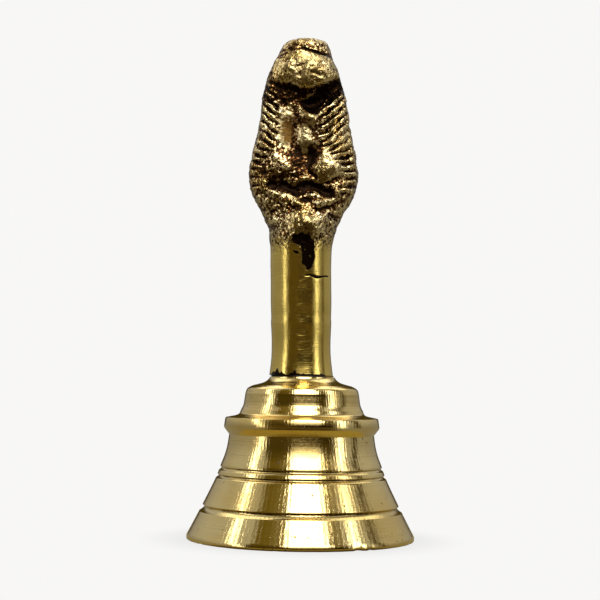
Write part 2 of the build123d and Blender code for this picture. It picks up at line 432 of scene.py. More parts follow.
def finishPiece(name, bm, materials, nodes, sharpOver=40.0):
    bmesh.ops.remove_doubles(bm, verts=bm.verts, dist=1e-7)
    bmesh.ops.recalc_face_normals(bm, faces=bm.faces)
    for edge in bm.edges:
        edge.smooth = len(edge.link_faces) == 2 and edge.calc_face_angle(0) < math.radians(sharpOver)
    for face in bm.faces:
        face.smooth = True
    mesh = bpy.data.meshes.new(name)
    bm.to_mesh(mesh)
    bm.free()
    piece = bpy.data.objects.new(name, mesh)
    bpy.context.scene.collection.objects.link(piece)
    for material in materials:
        mesh.materials.append(material)
    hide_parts(*nodes)
    return piece


def spinOutline(bm, outline, segments):
    verts = [bm.verts.new((radius * mm, 0, height * mm)) for radius, height in outline]
    edges = [bm.edges.new(pair) for pair in zip(verts, verts[1:] + verts[:1])]
    bmesh.ops.spin(bm, geom=verts + edges, cent=(0, 0, 0), axis=(0, 0, 1), angle=math.tau,
                   steps=segments, use_merge=True, use_duplicate=False)


def readPoints(mesh):
    # the mesh's points, in millimetres
    co = np.empty(len(mesh.vertices) * 3, np.float64)
    mesh.vertices.foreach_get("co", co)
    return co.reshape(-1, 3) / mm


def setShade(mesh, name, values):
    # one value per point, for the materials to read
    mesh.attributes.new(name, "FLOAT", "POINT").data.foreach_set("value", values.astype(np.float32))


# the cup, with outlines as (radius, height) in millimetres

cup = {
    "segments": 288,
    "rimWidth": 1.5,
    "rimRound": 0.3,
    "lip": (26.0, 0.9),
    "skirt": ((26.0, 0.9), (22.85, 7.0), (19.9, 13.0), (18.7, 16.0)),
    "waist": ((18.38, 17.0), (17.6, 19.0), (17.02, 21.2), (16.64, 23.8)),
    "band": ((17.75, 25.2), (17.85, 25.6), (17.6, 27.4), (17.45, 27.65), (15.2, 28.1)),
    "ledge": ((15.2, 28.1), (14.4, 28.5), (14.0, 29.4)),
    "tier": ((14.0, 29.4), (13.48, 30.5), (13.22, 32.0), (13.06, 33.2)),
    "shoulder": ((13.05, 33.2), (12.6, 34.3), (11.4, 35.0)),
    "neck": ((11.4, 35.0), (8.9, 35.7), (7.75, 36.5), (7.5, 37.0)),
    "crownHole": 2.15,
    "crownUnderside": 32.2,
    "hollow": ((9.6, 32.2), (11.2, 30.8), (13.6, 26.0), (14.7, 21.0), (16.6, 15.6), (21.0, 6.5), (24.5, 0.0)),
    "bevel": 0.12,
    "bevelOver": 28.0,
    "bevelOutside": 12.0,
    "insideRadius": 24.6,
    "insideTop": 32.3,
    # height, half width, depth
    "grooves": ((7.3, 0.95, 0.60), (14.45, 0.56, 0.40), (16.2, 0.56, 0.36)),
    "grooveStep": 0.09,
    "skirtStep": 0.6,
    # degrees round from the front, half width in degrees, depth
    "chips": ((29.0, 3.0, 0.30), (36.0, 1.5, 0.25), (-12.0, 1.2, 0.12), (-58.0, 2.0, 0.15), (71.0, 1.6, 0.2)),
    "chipBelow": 0.9,
    "chipOutside": 25.2,
    "chipGrain": 1.1,
    "chipRise": 0.8,
    "chipPull": 0.028,
    "lipWander": 0.05,
    "lipWanderSize": 3.0,
    # the skirt's radius at the grooves, which parts their painted shade and dirt from the inner wall
    "dirtAndShadeHeights": (7.3, 14.5, 16.2),
    "dirtAndShadeRadii": (21.6, 18.5, 17.8),
    "dirtAndShadeShift": 0.14,
    "dirtAndShadeWidth": 0.34,
    "dirtAndShadeFront": 2.0,
    "dirtAndShadeArc": 52.0,
    "dirtAndShadeFade": 16.0,
}


def grooveDip(height):
    # each groove is steep above and eases out below, as the tool leaves it
    dip = 0.0
    for centre, width, depth in cup["grooves"]:
        away = (height - centre) / width
        reach = 1.0 if away < 0 else 0.55
        dip += depth * max(0.0, 1.0 - (away / reach) ** 2)
    return dip


def outerWall():
    run = smoothRun(cup["skirt"], 12) + smoothRun(cup["waist"], 10)
    heights = [height for _, height in run]
    wanted = set(np.round(np.arange(cup["lip"][1], cup["waist"][0][1] + 2, cup["skirtStep"]), 3))
    for centre, width, _ in cup["grooves"]:
        wanted |= set(np.round(np.arange(centre - 1.1 * width, centre + 0.7 * width, cup["grooveStep"]), 3))
    wanted |= {height for height in heights if height > cup["waist"][0][1] + 1}
    radii = [radius for radius, _ in run]
    return [(float(np.interp(z, heights, radii)) - grooveDip(z), float(z)) for z in sorted(wanted)]


def chipLip(bm):
    for vert in bm.verts:
        if vert.co.z < cup["chipBelow"] * mm and vert.co.xy.length > cup["chipOutside"] * mm:
            angle = math.degrees(math.atan2(vert.co.x, -vert.co.y))
            bite = sum(deep * max(0.0, 1 - ((angle - middle) / wide) ** 2) for middle, wide, deep in cup["chips"])
            wander = noise.noise(vert.co / (cup["chipGrain"] * mm))
            slow = noise.noise(vert.co / (cup["lipWanderSize"] * mm))
            pull = max(0.0, bite * (0.6 + 0.8 * wander) + cup["lipWander"] * slow)
            vert.co.z += pull * cup["chipRise"] * mm
            vert.co.x *= 1 - pull * cup["chipPull"]
            vert.co.y *= 1 - pull * cup["chipPull"]


def makeCup():
    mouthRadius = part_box("bell_cup")[1].x / mm
    rimRound = cup["rimRound"]
    edge = [(mouthRadius - rimRound * (1 - math.sin(a)), rimRound * (1 - math.cos(a)))
            for a in np.linspace(0, math.pi / 2, 6)]
    outline = [(mouthRadius - cup["rimWidth"], 0.0), *edge, *outerWall()]
    outline += list(cup["band"])[:-1]
    outline += smoothRun(cup["ledge"], 6)
    outline += smoothRun(cup["tier"], 8)[1:]
    outline += smoothRun(cup["shoulder"], 6)[1:]
    outline += smoothRun(cup["neck"], 6)[1:]
    outline += [(cup["crownHole"], cup["neck"][-1][1]), (cup["crownHole"], cup["crownUnderside"])]
    outline += smoothRun(cup["hollow"], 10)[:-1]
    bm = bmesh.new()
    spinOutline(bm, outline, cup["segments"])
    bmesh.ops.recalc_face_normals(bm, faces=bm.faces)
    ringEdges = [e for e in bm.edges if len(e.link_faces) == 2 and abs(e.verts[0].co.z - e.verts[1].co.z) < 1e-9
                 and e.calc_face_angle(0) > math.radians(cup["bevelOver"])
                 and e.verts[0].co.xy.length > cup["bevelOutside"] * mm]
    bmesh.ops.bevel(bm, geom=ringEdges, offset=cup["bevel"] * mm, segments=3, profile=0.5, affect="EDGES",
                    material=-1, clamp_overlap=True)
    chipLip(bm)
    for face in bm.faces:
        middle = face.calc_center_median()
        underCrown = face.normal.z < -0.9 and middle.z > 10 * mm and middle.xy.length < 12 * mm
        inward = face.normal.xy.dot(middle.xy) < 0 or underCrown
        within = middle.xy.length < cup["insideRadius"] * mm and middle.z < cup["insideTop"] * mm
        face.material_index = 1 if inward and within else 0
    return finishPiece("bellCup", bm, [cupOutside, cupInside], ["bell_cup"])


def paintGrooveDirtAndShade(mesh):
    x, y, z = readPoints(mesh).T
    dirtAndShade = np.zeros(len(x))
    for centre, width, _ in cup["grooves"]:
        away = np.abs(z - centre - cup["dirtAndShadeShift"] * width) / (cup["dirtAndShadeWidth"] * width)
        dirtAndShade = np.maximum(dirtAndShade, np.clip(1.25 - away, 0, 1))
    dirtAndShade[np.hypot(x, y) < np.interp(z, cup["dirtAndShadeHeights"], cup["dirtAndShadeRadii"])] = 0
    # painted shade and dirt in the grooves: thickest in front, and in short runs elsewhere
    angle = np.degrees(np.arctan2(x, -y))
    runs = np.clip(1.6 * np.sin(np.radians(5 * angle + 40 * z)) * np.sin(np.radians(13 * angle)), 0, 1)
    front = np.clip((cup["dirtAndShadeArc"] - np.abs(angle - cup["dirtAndShadeFront"])) / cup["dirtAndShadeFade"], 0, 1)
    setShade(mesh, "dirtAndShade", dirtAndShade * np.maximum(0.22 + 0.78 * front, 0.8 * runs))


bellCup = makeCup()
paintGrooveDirtAndShade(bellCup.data)
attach(bellCup, "root")
print("cup made", len(bellCup.data.polygons), "faces")


# the handle: stem and winged figure, built ring on ring and then worked like clay, in millimetres

handle = {
    "segments": 280,
    "sharpOver": 75.0,
    "footRing": 5.5,
    "stemRadius": 7.0,
    "footHeight": 2.4,
    "crackFrom": 59.0,
    "crackTo": 61.0,
    "stemStep": 0.9,
    "fineStep": 0.16,
    "figureStep": 0.24,
    "figureFrom": 66.0,
    # (height, value) for the stem's radius, then the figure's half width and depth, and how far x leans
    "stem": ((37.4, 7.3), (39.7, 7.02), (42.4, 6.82), (45.2, 6.78), (47.5, 6.87), (49.6, 6.96), (50.1, 6.88),
             (54.0, 7.0), (58.0, 7.0)),
    "halfWidth": (
        (63.5, 7.03), (67.0, 7.14), (69.1, 7.5), (71.1, 7.8), (72.9, 8.5), (74.8, 9.45), (76.7, 10.5),
        (78.5, 11.5), (80.5, 12.3), (82.3, 12.6), (84.1, 12.6), (87.0, 12.25), (90.8, 11.45), (94.5, 10.65),
        (98.2, 10.15), (102.0, 9.65), (105.8, 8.7), (107.6, 8.15), (109.5, 7.3), (111.4, 6.45), (113.1, 5.85),
        (113.9, 5.45), (114.7, 4.9), (115.2, 4.2), (115.45, 3.2),
    ),
    "halfDepth": (
        (63.5, 7.1), (67.0, 7.15), (70.0, 7.2), (73.0, 6.7), (76.0, 5.9), (80.0, 5.2), (84.0, 4.8),
        (90.0, 4.5), (97.0, 4.3), (103.0, 4.4), (107.0, 4.6), (110.5, 4.7), (112.5, 4.5), (114.1, 4.2),
        (114.9, 3.8), (115.45, 3.0),
    ),
    "lean": ((37.4, -0.3), (52.0, -0.5), (66.0, -0.7), (72.0, -0.45), (84.0, -0.4), (97.0, -0.35),
             (108.0, -0.6), (115.3, -0.1)),
    # size, octaves and seed of the unevenness, then its height
    "lumps": ((2.6, 3, 3.1), 0.26),
    "grains": ((0.8, 2, 9.4), 0.14),
    "stemWaves": ((7.0, 2, 5.5), 0.05),
    "crackHeight": 59.9,
    "crackDepth": 0.09,
    "top": 115.55,
    "socket": 2.06,
    "socketDepth": 11.0,
}


def table(points, heights):
    # smooth values at the given heights from a table of (height, value)
    known = np.array(smoothRun(points, 8))
    return np.interp(heights, known[:, 0], known[:, 1])


def dome(x, z, cx, cz, rx, rz, turn, power):
    c, s = math.cos(math.radians(turn)), math.sin(math.radians(turn))
    u, v = (x - cx) * c + (z - cz) * s, -(x - cx) * s + (z - cz) * c
    return np.clip(1 - (u / rx) ** 2 - (v / rz) ** 2, 0, 1) ** power


def limb(x, z, start, end, thick, power):
    (x0, z0), (x1, z1) = start, end
    along = np.clip(((x - x0) * (x1 - x0) + (z - z0) * (z1 - z0)) / ((x1 - x0) ** 2 + (z1 - z0) ** 2), 0, 1)
    away = np.hypot(x - x0 - along * (x1 - x0), z - z0 - along * (z1 - z0))
    return np.clip(1 - (away / thick) ** 2, 0, 1) ** power


def step(value, low, high):
    # 0 at low, 1 at high, and low may be the larger
    t = np.clip((value - low) / (high - low), 0, 1)
    return t * t * (3 - 2 * t)


# the soft forms on the figure's front, in millimetres
forms = {
    "domes": (  # middle x and height, half sizes, turn, how far it stands out
        (-5.1, 86.2, 4.8, 4.2, 10, 0.85),
        (5.9, 85.6, 4.8, 4.6, -12, 1.9),
        (7.6, 90.5, 3.6, 4.0, 20, 0.5),
        (1.0, 72.3, 6.0, 4.2, 0, 1.3),
        (1.3, 96.6, 2.6, 3.0, 0, 0.5),
        (-9.4, 80.6, 3.4, 3.0, 0, 0.6),
        (9.8, 80.4, 3.4, 3.2, 0, 0.6),
    ),
    "limbs": (  # start, end, half thickness, how far it stands out
        ((1.4, 97.0), (1.0, 91.5), 3.8, 0.9),
        ((-6.4, 79.4), (-1.8, 76.6), 2.0, 0.5),
        ((2.8, 78.6), (4.0, 76.2), 1.6, 0.4),
        ((4.0, 76.4), (7.9, 78.9), 1.5, 0.9),
        ((-1.6, 76.6), (4.0, 76.2), 1.4, 0.5),
    ),
    "hollows": (  # middle x and height, half sizes, turn, how deep
        (-3.8, 94.0, 3.4, 6.6, 6, 0.55),
        (4.8, 94.6, 2.2, 5.0, -6, 0.35),
        (1.4, 88.6, 1.6, 3.4, 24, 0.45),
        (7.4, 73.6, 2.2, 1.6, 30, 0.9),
        (-6.9, 74.2, 2.4, 1.8, -30, 0.9),
    ),
    "cuts": (  # start, end, half thickness, how deep
        ((-7.6, 80.9), (-4.8, 80.3), 1.5, 0.6),
        ((-4.8, 80.3), (-2.2, 79.6), 1.8, 0.9),
        ((-2.2, 79.6), (0.2, 80.4), 1.9, 0.9),
        ((0.2, 80.4), (3.8, 80.0), 1.7, 0.9),
        ((3.8, 80.0), (6.4, 78.9), 1.4, 0.7),
    ),
    # x and height along the chin's lower edge
    "chin": ((-9.5, 107.3), (-7.4, 106.3), (-4.8, 105.3), (-2.4, 104.3), (-0.5, 103.9), (2.0, 103.8), (4.0, 104.7),
             (6.0, 106.0), (7.5, 106.6), (9.5, 106.2)),
    "throat": ((8.8, 104.8), (1.2, 99.4), 2.3, 1.1),  # as the cuts
    "worn": (  # smooth, rubbed places: middle, half sizes, turn, how much
        (-3.6, 93.6, 3.1, 6.6, 6, 1.0),
        (0.6, 110.4, 6.0, 2.0, 0, 0.6),
        (0.8, 107.0, 8.4, 3.6, 0, 0.55),
        (-5.6, 108.2, 2.2, 2.4, 20, 0.6),
        (6.4, 90.0, 4.4, 9.0, -8, 0.35),
        (-5.4, 85.6, 3.4, 3.2, 0, 0.45),
        (0.6, 72.0, 6.0, 4.0, 0, 0.3),
        (0.8, 92.0, 5.0, 8.5, 0, 0.48),
        (5.8, 85.2, 3.4, 3.4, 0, 0.42),
    ),
    "eye": (1.7, 106.6, 1.2, 0.8, 0.20),  # from the middle, height, half sizes, depth
    "nose": (107.2, 105.6, 0.9, 0.25),  # top, foot, half thickness, how far it stands out
    "headTop": 113.0,
    "headMiddle": 0.8,
    "headReach": 1.1,
    "neckDepth": 1.15,
    "ribPitch": 1.95,
    "ribHeight": 0.7,
}


def wingRibs(x, z, half, side):
    # feather ribs that run down and inward from the edge, steeper towards the top
    inward = half - side * x
    wander = 0.16 * np.sin(1.1 * inward + 0.5 * z) + 0.22 * np.sin(2.9 * z + side)
    slope = np.interp(z, (78.0, 84.0, 91.0, 101.0), (0.0, 0.08, 0.75, 0.95))
    length = np.interp(z, (77.0, 84.0, 89.0, 98.0, 103.0), (1.8, 2.6, 6.4, 6.6, 3.4))
    length = length * (0.62 if side < 0 else 1.0) + 0.5 * np.sin(5.1 * z)
    phase = (z + inward * slope + wander) / forms["ribPitch"]
    crest = np.abs(np.cos(math.pi * phase)) ** 1.1
    inside = step(inward, length + 1.6, length - 0.8) * step(z, 76.6, 79.4) * step(z, 105.5, 102.0)
    uneven = 0.75 + 0.35 * np.sin(1.7 * z + 4 * side) * np.sin(0.9 * inward + z)
    strong = 1 + 0.5 * step(z, 90.0, 85.0)
    return (crest - 0.6) * forms["ribHeight"] * inside * 1.5 * uneven * strong


def creviceHeight(x):
    # the crevice under the cap
    return 112.6 - 0.20 * (x + 1.0) + 0.25 * np.sin(1.1 * x)


def frontRelief(x, z):
    f = forms
    # melt the drawing a little, so that no form is exact
    x, z = x + 0.32 * np.sin(0.9 * z) * np.sin(0.7 * x + 1), z + 0.30 * np.sin(1.1 * x + 0.5 * z)
    fromHead = x - f["headMiddle"]
    chin = np.interp(x, [p[0] for p in f["chin"]], [p[1] for p in f["chin"]])
    down = np.clip((f["headTop"] - z) / (f["headTop"] - chin), 0, 1)
    across = np.clip(1 - (fromHead / 8.6) ** 2, 0, 1) ** 0.5
    relief = f["headReach"] * np.sin(down * 2.25) ** 0.9 * across * step(z, chin - 1.1, chin + 0.7)
    under = step(z, chin + 0.1, chin - 1.5) * step(z, 96.4, 101.6)
    relief = relief - f["neckDepth"] * under * np.clip(1 - (fromHead / 9.0) ** 2, 0, 1) ** 0.5
    chest = step(z, 83.5, 88.5) * step(z, 103.0, 99.0) * step(np.abs(fromHead), 8.4, 4.8)
    relief = relief - 0.6 * chest
    for cx, cz, rx, rz, turn, out in f["domes"]:
        relief = relief + out * dome(x, z, cx, cz, rx, rz, turn, 1.6)
    for start, end, thick, out in f["limbs"]:
        relief = relief + out * limb(x, z, start, end, thick, 1.7)
    for cx, cz, rx, rz, turn, deep in f["hollows"]:
        relief = relief - deep * dome(x, z, cx, cz, rx, rz, turn, 2.0)
    cut = 0
    for start, end, thick, deep in f["cuts"]:
        cut = np.maximum(cut, deep * limb(x, z, start, end, thick, 1.2))
    start, end, thick, deep = f["throat"]
    cut = np.maximum(cut, deep * limb(x, z, start, end, thick, 1.4))
    relief = relief - cut
    # a calm, plain face, as faint as the worn casting round it
    aside, height, wide, tall, deep = f["eye"]
    for side in (-1, 1):
        relief = relief - deep * dome(x, z, f["headMiddle"] + side * aside, height, wide, tall, 0, 1.5)
    top, low, thick, out = f["nose"]
    relief = relief + out * limb(x, z, (f["headMiddle"], top), (f["headMiddle"], low), thick, 1.5)
    relief = relief - 0.6 * np.exp(-((z - creviceHeight(x)) / 0.30) ** 2) * step(x, -2.2, 0.6)
    return relief


def backRelief(x, z):
    # two folded wings that meet at the spine, with short feathers above and long ones below
    wing = step(z, 75.0, 79.0) * step(z, 105.0, 102.0)
    row = (z + 0.16 * np.abs(x)) / 2.6
    column = x / 2.4 + 0.5 * (np.floor(row) % 2)
    scallop = (row - np.floor(row)) - 1.1 * (column - np.floor(column) - 0.5) ** 2
    short = np.clip(1.0 - scallop, 0, 1) * step(z, 88.5, 90.5)
    spread = np.arctan2(x, 108.0 - z) * 16.0
    long = np.abs(np.cos(math.pi * spread)) ** 0.7 * step(z, 90.5, 88.5)
    spine = np.exp(-(x / 0.7) ** 2)
    return wing * (0.38 * short + 0.42 * long - 0.30 * spine) - 0.2 * wing


def castWander(points, size, octaves, seed):
    shift = Vector((seed, seed * 1.7, seed * 0.3))
    return np.array([noise.fractal(Vector(p) / size + shift, 0.7, 2.1, octaves) for p in points])


def makeHandle():
    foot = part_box("handle")[0].z / mm
    fine, coarse = handle["fineStep"], handle["stemStep"]
    footTop, crackFrom, crackTo = foot + handle["footHeight"], handle["crackFrom"], handle["crackTo"]
    heights = [*np.arange(foot, footTop, fine), *np.arange(footTop, crackFrom, coarse),
               *np.arange(crackFrom, crackTo, fine), *np.arange(crackTo, handle["figureFrom"], 2.5 * fine)]
    heights += list(np.arange(handle["figureFrom"], handle["top"] - 0.1, handle["figureStep"]))
    segments = handle["segments"]
    bm = bmesh.new()
    ring = bmesh.ops.create_circle(bm, segments=segments, radius=handle["socket"] * mm)["verts"]
    bmesh.ops.translate(bm, verts=ring, vec=(0, 0, (foot + handle["socketDepth"]) * mm))
    edges = list({e for v in ring for e in v.link_edges})
    bmesh.ops.contextual_create(bm, geom=edges)
    # down the stud's hole, out across the foot, and up the outside
    stations = [(foot, handle["socket"]), (foot, handle["footRing"])] + [(z, handle["stemRadius"]) for z in heights]
    for z, radius in stations:
        out = bmesh.ops.extrude_edge_only(bm, edges=edges)["geom"]
        ring = [g for g in out if isinstance(g, bmesh.types.BMVert)]
        edges = [g for g in out if isinstance(g, bmesh.types.BMEdge)]
        grow = radius * mm / ring[0].co.xy.length
        bmesh.ops.scale(bm, verts=ring, vec=(grow, grow, 1))
        bmesh.ops.translate(bm, verts=ring, vec=(0, 0, z * mm - ring[0].co.z))
    tip = bmesh.ops.extrude_edge_only(bm, edges=edges)["geom"]
    tip = [g for g in tip if isinstance(g, bmesh.types.BMVert)]
    bmesh.ops.translate(bm, verts=tip, vec=(0, 0, handle["top"] * mm - tip[0].co.z))
    bmesh.ops.pointmerge(bm, verts=tip, merge_co=(0, 0, handle["top"] * mm))
    piece = finishPiece("bellHandle", bm, [handleBrass], ["handle"], handle["sharpOver"])
    shapeFigure(piece.data, foot)
    return piece


def shapeFigure(mesh, foot):
    co = readPoints(mesh)
    radius = np.hypot(co[:, 0], co[:, 1])
    z = co[:, 2]
    around = np.arctan2(co[:, 0], -co[:, 1])  # 0 in front, positive towards +X
    half = table(handle["stem"] + handle["halfWidth"], z)
    deep = table(handle["stem"] + handle["halfDepth"], z)
    # each ring is an ellipse, squarer along the figure
    power = 2 / (2.0 + 0.7 * step(z, 70.0, 78.0) * step(z, 114.0, 108.0))
    cosine, sine = np.cos(around), np.sin(around)
    x = half * np.sign(sine) * np.abs(sine) ** power
    y = -deep * np.sign(cosine) * np.abs(cosine) ** power
    front = cosine > 0
    figure = step(z, 66.0, 71.5)
    side = np.clip(np.abs(x) / half, 0, 1)
    relief = np.where(front, frontRelief(x, z), backRelief(x, z)) * (1 - side ** 5)
    ribs = np.where(sine > 0, wingRibs(x, z, half, 1), wingRibs(x, z, half, -1))
    rimLine = 0.35 * np.exp(-((half - np.abs(x) - 0.55) / 0.3) ** 2) * step(z, 77.5, 79.5) * step(z, 94.0, 91.0)
    relief = relief + np.where(front, (ribs + rimLine) * (1 - side ** 14), 0)
    y = y - np.sign(cosine) * relief * figure
    # the casting's own unevenness, much less on the filed stem
    points = np.stack([x, y, z], 1)
    lumps, grains, waves = (high * castWander(points, *kind)
                            for kind, high in (handle["lumps"], handle["grains"], handle["stemWaves"]))
    worn = np.maximum.reduce([much * dome(x, z, *shape, 0.9) for *shape, much in forms["worn"]]) * front
    swell = figure * (lumps + grains) * (1 - 0.8 * worn) + (1 - figure) * waves
    outward = np.stack([x / half ** 2, y / np.maximum(deep, 1) ** 2], 1)
    outward /= np.maximum(np.linalg.norm(outward, axis=1), 1e-6)[:, None]
    x = x + outward[:, 0] * swell
    y = y + outward[:, 1] * swell
    # a cold crack across the stem's right side
    gape = 0.17 + 0.16 * np.exp(-((x - 3.2) / 1.2) ** 2)
    crack = np.exp(-((z - handle["crackHeight"] - 0.2 * np.sin(1.5 * x - 1.0)) / gape) ** 2)
    crack = crack * step(x, 0.4, 1.4) * step(x, 6.6, 5.8) * front
    x = x + table(handle["lean"], z)
    y = y + handle["crackDepth"] * crack
    # the stud's hole stays round, and the tip only moves with the lean
    tip = radius < 0.5
    shaped = (radius > 6.5) & ~tip
    co[:, 0] = np.where(shaped, x, co[:, 0])
    co[:, 1] = np.where(shaped, y, co[:, 1])
    onTop = tip & (z > 100)
    co[onTop, 0] = table(handle["lean"], z[onTop])
    mesh.vertices.foreach_set("co", (co * mm).ravel())
    setShade(mesh, "worn", worn)
    setShade(mesh, "hollow", hollowShade(x, z, front, sunkBelow(mesh, co)))
    setShade(mesh, "sootShadeAndReflection", sootShade(x, z, front, foot, crack))


def sunkBelow(mesh, co, rounds=22):
    # how far each point lies below its surroundings
    count = len(co)
    ends = np.empty(len(mesh.edges) * 2, np.int64)
    mesh.edges.foreach_get("vertices", ends)
    ends = ends.reshape(-1, 2)
    near = np.bincount(ends.ravel(), minlength=count)
    blurred = co.copy()
    for _ in range(rounds):
        total = np.zeros_like(blurred)
        for axis in range(3):
            total[:, axis] = (np.bincount(ends[:, 0], blurred[ends[:, 1], axis], count)
                              + np.bincount(ends[:, 1], blurred[ends[:, 0], axis], count))
        blurred = 0.5 * blurred + 0.5 * total / near[:, None]
    mesh.update()
    normals = np.empty(count * 3, np.float32)
    mesh.vertex_normals.foreach_get("vector", normals)
    return np.einsum("ij,ij->i", blurred - co, normals.reshape(-1, 3))


def hollowShade(x, z, front, sunk):
    # where patina gathers: every sunk place; painted shade under the chin and, with patina, in the bands below the
    # knees; darker on the chest and the left knee, lighter on the right wing
    start, end, thick, _ = forms["throat"]
    throat = limb(x, z, start, end, thick, 0.8)
    leftNeckShade = step(z, 105.4, 103.4) * step(z, 98.4, 100.4) * step(x, 3.0, 0.5)
    chest = step(z, 84.0, 88.0) * step(z, 99.0, 97.0) * step(np.abs(x - 0.2), 4.6, 3.2)
    rightWing = step(x, 2.6, 4.4) * step(z, 81.0, 84.0) * step(z, 99.0, 95.0)
    leftKnee = dome(x, z, -5.1, 85.6, 5.4, 5.0, 0, 0.7)
    bands = np.maximum.reduce([limb(x, z, begin, finish, wide, 1.0) for begin, finish, wide, _ in forms["cuts"]])
    # painted shade under the chin and in the bands below the knees
    shade = 0.85 * throat + 0.30 * leftNeckShade + 0.46 * chest + 0.45 * bands + 0.30 * leftKnee - 0.16 * rightWing
    return np.clip(0.20 + 2.6 * sunk + np.where(front, shade, 0), 0, 1.3)


def sootShade(x, z, front, foot, crack):
    # black marks: residue at the foot, painted shade in the crack and in the crevice under the cap, a patch below the
    # figure, and a painted dark reflection running down the front of the stem
    crust = 0.45 + 1.05 * dome(x, 0, -5.7, 0, 1.7, 1, 0, 0.8) + 0.75 * dome(x, 0, -1.9, 0, 1.3, 1, 0, 0.8)
    crust = crust * (1 + 0.3 * np.sin(3.1 * x + 1) + 0.3 * np.sin(6.3 * x))
    crust = crust * (1 - 0.9 * np.exp(-((x + 3.6) / 0.45) ** 2))
    blackening = 0.85 * step(z, foot + crust, foot + 0.35 * crust) * step(x, 5.4, 4.9)
    ragged = 0.5 * np.sin(2.3 * x + 1.2 * z) + 0.4 * np.sin(1.7 * z - 2.9 * x)
    patch = dome(x, z, -0.3, 68.1, 3.4, 1.9, -12, 0.8) + 0.6 * dome(x, z, 0.9, 66.0, 1.8, 3.0, 4, 0.8)
    # a painted dark reflection running down the front of the stem
    run = 0.78 * step(z, 58.6, 63.6) * step(z, 69.0, 67.0) * np.clip(1 - ((x - 0.9) / 1.9) ** 4, 0, 1)
    patch = np.maximum(patch, run) * (1 + 0.35 * ragged) * front
    drip = dome(x, z, -1.8, 65.3, 1.2, 0.55, -25, 1.0) * front
    # painted shade in the crevice under the cap
    crevice = np.exp(-((z - creviceHeight(x) + 0.1) / 0.32) ** 2) * step(x, 0.2, 1.4) * front
    # painted shade in the crack
    shadedCrack = np.minimum(1, 1.7 * crack)
    return np.maximum.reduce([blackening, 0.95 * shadedCrack, 0.95 * patch, 0.9 * drip, 0.85 * crevice])


bellHandle = makeHandle()
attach(bellHandle, "root")
print("handle made", len(bellHandle.data.polygons), "faces")


# the black filler in the joint

seam = {"segments": 192, "inner": 2.15, "radius": 7.2, "roundAcross": 0.05, "roundUp": 0.08, "shoulder": 0.3,
        "bulge": 0.28, "bulgeOutside": 7.0, "lumps": 3.1}


def makeSeam():
    low, high = (corner.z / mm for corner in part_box("seam_filler"))
    inner, radius = seam["inner"], seam["radius"]
    shoulder, edge, up = radius - seam["shoulder"], radius - seam["roundAcross"], seam["roundUp"]
    outline = [(inner, low), (shoulder, low), (edge, low + up), (radius, (low + high) / 2), (edge, high - up),
               (shoulder, high), (inner, high)]
    bm = bmesh.new()
    spinOutline(bm, outline, seam["segments"])
    for vert in bm.verts:
        reach = vert.co.xy.length / mm
        if reach > seam["bulgeOutside"]:
            angle = math.atan2(vert.co.y, vert.co.x)
            wander = noise.noise(Vector((math.cos(angle) * seam["lumps"], math.sin(angle) * seam["lumps"], 4.0)))
            grow = 1 + seam["bulge"] * wander / reach
            vert.co.x *= grow
            vert.co.y *= grow
    return finishPiece("seamFiller", bm, [seamBlack], ["seam_filler"])


seamFiller = makeSeam()
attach(seamFiller, "root")


# the pieces inside keep their own shapes and take better materials

innerFinishes = {
    "eye_stud": studSteel,
    "crown_washer": studSteel,
    "crown_nut": studSteel,
    "clapper_link": ironWire,
    "clapper_rod": ironWire,
    "clapper_ball": ballBrass,
}
for node, material in innerFinishes.items():
    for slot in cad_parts[node].material_slots:
        slot.material = material
print("pieces made")


# floor, light and camera

studio = {
    "background": (0.935, 0.93, 0.92),
    "floorRadius": 1.2,
    "fadeFrom": 0.35,
    "fadeTo": 1.1,
    "contactShadow": 0.86,
    "bounce": (0.26, 0.24, 0.18),
    "frontBounce": (0.060, 0.042, 0.016),
    "nearBounce": (0.33, 0.26, 0.07),
    "innerBounce": (0.60, 0.58, 0.52),
    "surround": (0.45, 0.45, 0.45),
    "lowSurround": (0.24, 0.23, 0.20),
    "brownFlag": (0.060, 0.042, 0.006),
    "highFlag": (0.150, 0.110, 0.016),
    "goldFlag": (0.150, 0.105, 0.018),
    "blackFlag": (0.006, 0.004, 0.003),
    "softbox": (5.2, 5.2, 5.2),
    "strip": (3.9, 3.9, 3.9),
    "halo": (0.42, 0.40, 0.30),
    "gridGlow": (1.5, 1.45, 1.3),
    "backSoftbox": (1.6, 1.58, 1.5),
    # degrees round from the front or up from level: from, to, soft edge
    "flagArc": (-58.0, 52.0, 1.5),
    "blackArc": (-11.0, 46.0, 3.0),
    "blackRise": (1.5, 11.0, 1.2),
    "stripArc": (57.0, 66.5, 1.2),
    "thinArc": (86.0, 96.0, 1.0),
    "haloArc": (-28.0, 42.0, 18.0),
    "softboxArc": (-17.0, 33.0, 2.0),
    "softboxRise": (27.0, 74.0, 2.0),
    "gridArc": (-15.0, 30.0, 2.0),
    "gridRise": (17.0, 30.0, 3.0),
    "barPitch": 6.5,
    "backFlagArc": (-1.0, 22.0, 3.0),
    "backSoftboxArc": (-1.0, 60.0, 6.0),
    "backSoftboxRise": (38.0, 70.0, 5.0),
    "keyPlace": (0.35, 0.10, 0.75),
    "keyAim": (0.0, 0.0, 0.03),
    "keyColour": (1.0, 0.98, 0.95),
    "keyEnergy": 0.9,
    "keySize": 0.5,
    "cameraPlace": (-0.0008, -0.330, 0.0353),
    "cameraAim": (-0.0008, 0.0, 0.0548),
    "cameraRoll": 0.8,
    "lens": 85.8,
    "sensor": 36.0,
}


